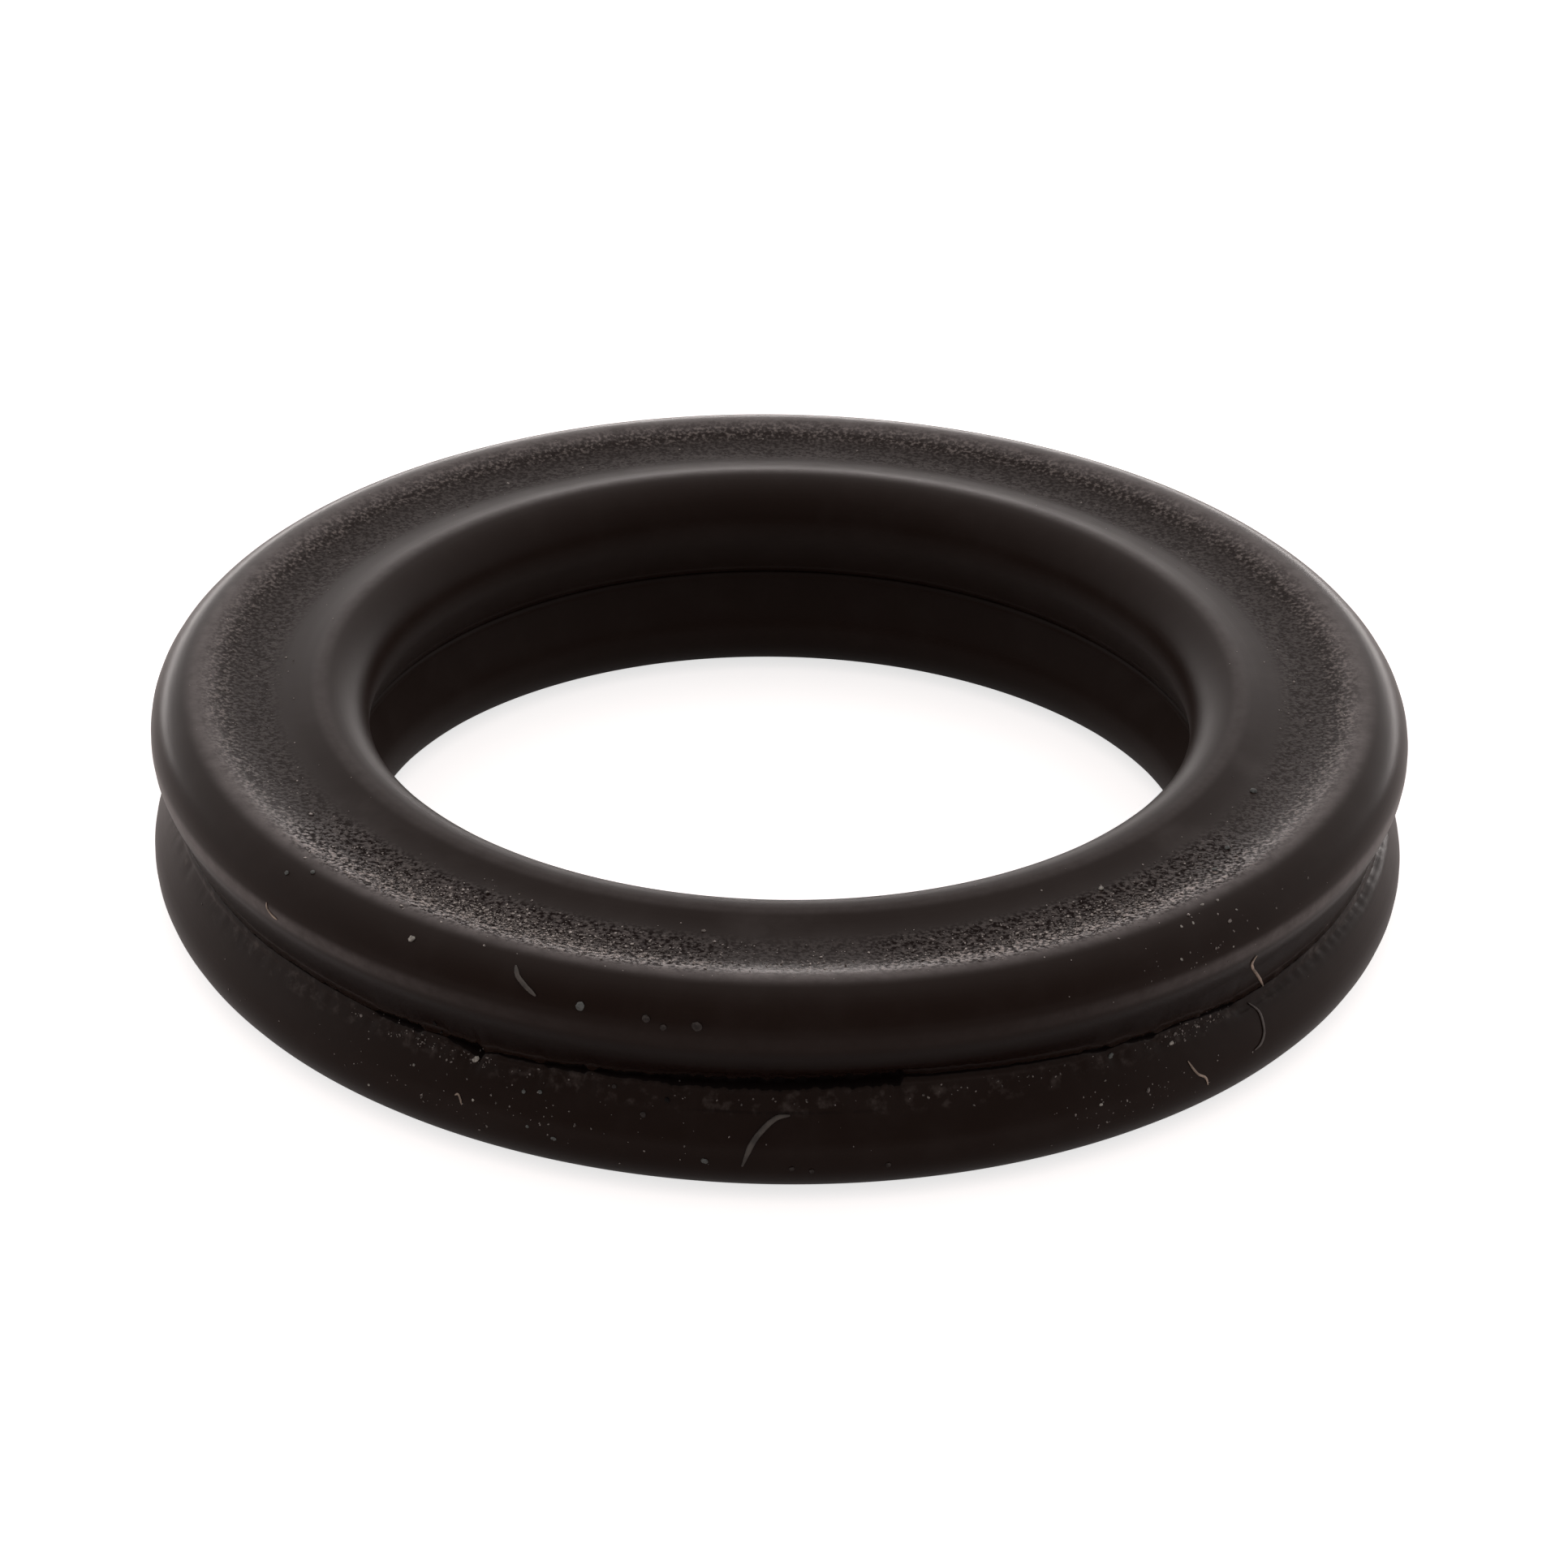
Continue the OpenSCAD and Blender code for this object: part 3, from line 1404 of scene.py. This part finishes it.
@dataclass(frozen=True)
class Studio:
    """A plain pale floor under soft light, with a low bright strip behind.

    The world is dimmer in front than behind, where a haze lies low over the
    floor. The mirrored glow is the share of the floor's white that a
    reflection shows.
    """

    floor_size: float = 1.6
    floor_tone: Colour = (0.80, 0.745, 0.73)
    floor_glow: float = 0.72
    mirrored_glow: float = 0.15
    light_tint: Colour = (1.0, 0.94, 0.925)
    front_light: float = 0.35
    back_light: float = 1.1
    light_from: Span = (-0.80, 0.30)
    haze_light: float = 0.75
    haze_heights: Span = (0.28, 0.10)
    haze_from: Span = (0.0, 0.5)
    strip_wide: float = 1.20
    strip_high: float = 0.063
    strip_away: float = 0.60
    strip_shine: float = 6.6
    strip_tint: Colour = (1.0, 0.94, 0.92)

    def floor(self) -> bpy.types.Object:
        """Lays the floor, which keeps the ring's shadow but shows as white.

        Returns:
            The floor.
        """
        bm = bmesh.new()
        bmesh.ops.create_grid(bm, x_segments=8, y_segments=8, size=self.floor_size)
        mesh = bpy.data.meshes.new("floor")
        bm.to_mesh(mesh)
        bm.free()
        floor = bpy.data.objects.new("floor", mesh)
        bpy.context.scene.collection.objects.link(floor)
        made = bpy.data.materials.new("pale_floor")
        n = Shader(made)
        matt = n.add("ShaderNodeBsdfDiffuse", {}, {"Color": self.floor_tone})
        path = n.node("ShaderNodeLightPath", {}, {})
        seen, glossy, through = (
            Sock(n, path.outputs[f"Is {ray} Ray"]) for ray in ("Camera", "Glossy", "Transmission")
        )
        seen = seen.most(glossy.most(through) * self.mirrored_glow)
        glow = n.add("ShaderNodeEmission", {}, {"Strength": seen * self.floor_glow})
        n.surface(n.add("ShaderNodeAddShader", {}, {0: matt, 1: glow}))
        mesh.materials.append(made)
        return floor

    def world(self) -> None:
        """Makes the soft surrounding light, dimmer on the camera's side."""
        world = bpy.data.worlds.new("soft_light")
        bpy.context.scene.world = world
        n = Shader(world)
        _, along, up = n.parts(n.add("ShaderNodeTexCoord", {}, {}, "Generated"))
        strength = along.ramp(*self.light_from, self.front_light, self.back_light)
        haze = up.ramp(*self.haze_heights) * along.ramp(*self.haze_from)
        strength = strength * (1 - haze * (1 - self.haze_light))
        lit = n.add("ShaderNodeBackground", {}, {"Color": self.light_tint, "Strength": strength})
        white = n.add("ShaderNodeBackground", {}, {"Strength": 1.0})
        seen = n.add("ShaderNodeLightPath", {}, {}, "Is Camera Ray")
        mixed = n.add("ShaderNodeMixShader", {}, {0: seen, 1: lit, 2: white})
        n.node("ShaderNodeOutputWorld", {}, {"Surface": mixed})

    def strip(self) -> bpy.types.Object:
        """Hangs the long low light that gives the lobes their sheen.

        Returns:
            The lamp.
        """
        data = bpy.data.lights.new("low_strip", "AREA")
        data.shape = "RECTANGLE"
        data.size, data.size_y = self.strip_wide, self.strip_high
        data.energy = 4 * self.strip_shine * self.strip_wide * self.strip_high
        data.color = self.strip_tint
        lamp = bpy.data.objects.new("low_strip", data)
        lamp.location = (0, self.strip_away, self.strip_high / 2)
        lamp.rotation_euler = (math.radians(-90), 0, 0)
        bpy.context.scene.collection.objects.link(lamp)
        return lamp

    def build(self) -> None:
        """Sets up the floor, the light and the view settings."""
        self.floor()
        self.world()
        self.strip()
        bpy.context.scene.view_settings.view_transform = "Standard"


# --------------------------------------------------------------------------
# Assembly
# --------------------------------------------------------------------------


TEARS = (
    Tear(-128.5, -122.9, (-0.05, -0.02), (0.12, 0.17)),
    Tear(-120.4, -116.5, (-0.01, -0.09), (0.11, 0.28)),
    Tear(-115.1, -111.1, (-0.03, -0.01), (0.08, 0.08)),
    Tear(-110.8, -106.4, (0.00, 0.05), (0.12, 0.15)),
    Tear(-106.0, -99.8, (0.05, 0.06), (0.13, 0.17)),
    Tear(-100.2, -78.4, (0.08, 0.17), (0.20, 0.27)),
    Tear(-79.2, -61.5, (0.13, 0.01), (0.07, 0.06)),
    Tear(-61.8, -58.6, (0.00, -0.06), (0.08, 0.13)),
    Tear(-57.0, -53.5, (-0.03, -0.09), (0.10, 0.15)),
    Tear(-53.1, -50.0, (-0.08, -0.09), (0.06, 0.08)),
    Tear(-48.6, -43.8, (-0.12, -0.18), (0.08, 0.12)),
)
GREY_LINT = FibreFinish("grey_lint", (0.070, 0.060, 0.052), (0.035, 0.030, 0.026))
PALE_LINT = FibreFinish("pale_lint", (0.110, 0.095, 0.088), (0.055, 0.046, 0.042))
GOLDEN_LINT = FibreFinish("golden_lint", (0.40, 0.31, 0.25), (0.15, 0.115, 0.09))
FIBRES = (
    Fibre(
        "lint_front_curl",
        Facing.SIDE,
        ((-88.5, 1.44), (-89.7, 1.40), (-90.9, 1.22), (-91.8, 1.00), (-92.5, 0.66)),
        0.085 * MM,
        GREY_LINT,
    ),
    Fibre(
        "lint_golden_bridge",
        Facing.SIDE,
        ((-43.6, 2.66), (-43.8, 2.52), (-43.0, 2.32), (-41.4, 2.02), (-40.2, 1.78), (-39.6, 1.62)),
        0.050 * MM,
        GOLDEN_LINT,
    ),
    Fibre(
        "lint_pale_hook",
        Facing.SIDE,
        ((-41.9, 1.50), (-41.4, 1.36), (-41.4, 1.18), (-41.7, 1.03), (-42.4, 0.92), (-43.2, 0.88)),
        0.048 * MM,
        PALE_LINT,
    ),
    Fibre(
        "lint_golden_short",
        Facing.SIDE,
        ((-51.0, 1.20), (-50.6, 1.05), (-50.2, 0.95), (-49.4, 0.84), (-49.1, 0.69)),
        0.040 * MM,
        GOLDEN_LINT,
    ),
    Fibre(
        "lint_upper_curl",
        Facing.SIDE,
        ((-113.1, 3.50), (-112.6, 3.40), (-111.6, 3.30), (-110.6, 3.21)),
        0.075 * MM,
        GREY_LINT,
    ),
    Fibre(
        "lint_left_hair",
        Facing.SIDE,
        ((-140.2, 3.00), (-140.0, 2.90), (-139.3, 2.84), (-138.6, 2.82)),
        0.034 * MM,
        GOLDEN_LINT,
    ),
    Fibre(
        "lint_low_curl",
        Facing.SIDE,
        ((-118.4, 1.03), (-118.1, 1.06), (-117.8, 1.00), (-117.6, 0.92)),
        0.035 * MM,
        GOLDEN_LINT,
    ),
)
DISH_DUST = DustFinish("dish_dust")
WALL_DUST = DustFinish("wall_dust", pale=(0.27, 0.24, 0.225))
BRIGHT_DUST = DustFinish("bright_dust", (0.15, 0.14, 0.13), (0.42, 0.40, 0.36))
SOFT_DUST = DustFinish("soft_dust", (0.070, 0.073, 0.070), (0.125, 0.130, 0.125))
FAINT_DUST = DustFinish("faint_dust", (0.020, 0.016, 0.014), (0.048, 0.040, 0.037))
# Near-black flakes laid as painted shade where small pits and holes are.
PIT_SHADE_FINISH = DustFinish("painted_pit_shade", (0.001, 0.0006, 0.0005), (0.004, 0.002, 0.0015))
DISH_DRIFTS = (
    Drift(Facing.TOP, 620, -127.0, 7.0, 9.05, 0.26, 0.022 * MM),
    Drift(Facing.TOP, 760, -117.0, 7.0, 9.06, 0.28, 0.021 * MM),
    Drift(Facing.TOP, 380, -104.0, 7.0, 9.08, 0.27, 0.018 * MM),
    Drift(Facing.TOP, 700, -58.0, 8.0, 9.05, 0.28, 0.021 * MM),
    Drift(Facing.TOP, 300, -82.0, 14.0, 9.16, 0.24, 0.017 * MM),
    Drift(Facing.TOP, 400, -90.0, 95.0, 8.80, 0.45, 0.017 * MM),
)
WALL_DRIFTS = (
    Drift(Facing.SIDE, 90, -121.0, 5.0, 1.60, 0.07, 0.023 * MM),
    Drift(Facing.SIDE, 70, -49.5, 2.2, 1.60, 0.07, 0.023 * MM),
    Drift(Facing.SIDE, 30, -68.0, 7.0, 1.66, 0.05, 0.023 * MM),
    Drift(Facing.SIDE, 16, -90.0, 8.0, 1.62, 0.04, 0.024 * MM),
    Drift(Facing.SIDE, 110, -113.0, 13.0, 1.05, 0.25, 0.019 * MM),
    Drift(Facing.SIDE, 70, -57.0, 5.0, 0.95, 0.22, 0.019 * MM),
    Drift(Facing.SIDE, 50, -48.0, 8.0, 3.20, 0.25, 0.019 * MM),
    Drift(Facing.SIDE, 60, 60.0, 90.0, 1.40, 0.40, 0.019 * MM),
)
BRIGHT_SPECKS = (
    Speck(Facing.SIDE, -123.5, 3.45, 0.082, 1.6),
    Speck(Facing.SIDE, -117.3, 1.58, 0.074, 2.0),
    Speck(Facing.TOP, -52.4, 8.37, 0.074, 1.3),
    Speck(Facing.SIDE, -51.2, 3.54, 0.033, 1.6),
    Speck(Facing.SIDE, -49.9, 3.53, 0.033, 1.6),
    Speck(Facing.SIDE, -52.7, 3.20, 0.041, 1.6),
    Speck(Facing.SIDE, -46.8, 3.06, 0.033),
    Speck(Facing.SIDE, -44.9, 3.47, 0.033, 1.4),
    Speck(Facing.TOP, -47.6, 9.87, 0.041, 1.4),
    Speck(Facing.TOP, -45.9, 9.92, 0.041),
    Speck(Facing.SIDE, -127.4, 0.66, 0.041),
    Speck(Facing.SIDE, -116.6, 1.04, 0.041),
    Speck(Facing.SIDE, -123.0, 1.25, 0.041),
    Speck(Facing.SIDE, -60.6, 1.02, 0.041, 1.5),
    Speck(Facing.SIDE, -52.1, 1.51, 0.057, 1.6),
)
SOFT_SPECKS = (
    Speck(Facing.SIDE, -106.6, 3.19, 0.139),
    Speck(Facing.SIDE, -95.7, 0.71, 0.082, 1.6),
    Speck(Facing.SIDE, -112.1, 1.34, 0.066),
    Speck(Facing.SIDE, -110.6, 1.39, 0.066),
    Speck(Facing.SIDE, -111.3, 0.85, 0.049),
    Speck(Facing.SIDE, -108.9, 0.74, 0.057, 1.8),
    Speck(Facing.TOP, -139.4, 10.16, 0.074),
    Speck(Facing.TOP, -137.2, 9.94, 0.074),
    Speck(Facing.SIDE, -58.6, 1.63, 0.082, 1.5),
    Speck(Facing.TOP, -23.9, 8.42, 0.107),
    Speck(Facing.TOP, -36.3, 8.89, 0.090),
    Speck(Facing.TOP, -41.1, 9.19, 0.090),
)
FAINT_SPECKS = (
    Speck(Facing.SIDE, -96.5, 3.12, 0.148),
    Speck(Facing.SIDE, -100.8, 3.15, 0.123),
    Speck(Facing.SIDE, -99.3, 3.05, 0.098),
    Speck(Facing.SIDE, -101.2, 1.32, 0.090),
    Speck(Facing.SIDE, -104.0, 1.66, 0.074),
    Speck(Facing.SIDE, -88.3, 0.62, 0.074),
    Speck(Facing.SIDE, -86.6, 0.57, 0.066),
    Speck(Facing.SIDE, -80.1, 0.63, 0.082),
)
# Painted shade: dark flakes standing for small pits and holes in the rubber.
PIT_SHADE_SPECKS = (
    Speck(Facing.SIDE, -121.4, 2.03, 0.061, 1.8),
    Speck(Facing.SIDE, -99.2, 1.57, 0.074),
    Speck(Facing.SIDE, -120.9, 1.86, 0.049),
)
SCATTERED = (
    (Dust("dish_grains", DISH_DUST, 41), DISH_DRIFTS),
    (Dust("wall_grains", WALL_DUST, 40), WALL_DRIFTS),
)
PLACED = (
    (Dust("bright_specks", BRIGHT_DUST, 42, 0.3), BRIGHT_SPECKS),
    (Dust("soft_specks", SOFT_DUST, 43, 0.2), SOFT_SPECKS),
    (Dust("faint_specks", FAINT_DUST, 44, 0.2), FAINT_SPECKS),
    (Dust("pit_shade_specks", PIT_SHADE_FINISH, 45), PIT_SHADE_SPECKS),
)


def report(piece: bpy.types.Object) -> None:
    """Logs one finished piece."""
    LOG.info("%s: %d faces", piece.name, len(piece.data.polygons))


def main() -> None:
    """Builds the ring, its dust and lint, and the studio, and logs each piece."""
    logging.basicConfig(level=logging.INFO, format="%(name)s: %(message)s")
    sizes = RingSizes()
    ring = RubberRing(sizes, CreaseTear(TEARS)).build()
    report(ring)
    skin = Skin(ring, sizes)
    for dust, drifts in SCATTERED:
        report(dust.drifts(skin, drifts))
    for dust, specks in PLACED:
        report(dust.specks(skin, specks))
    for fibre in FIBRES:
        report(fibre.build(skin))
    Studio().build()
    View().build()


if __name__ == "__main__":
    main()
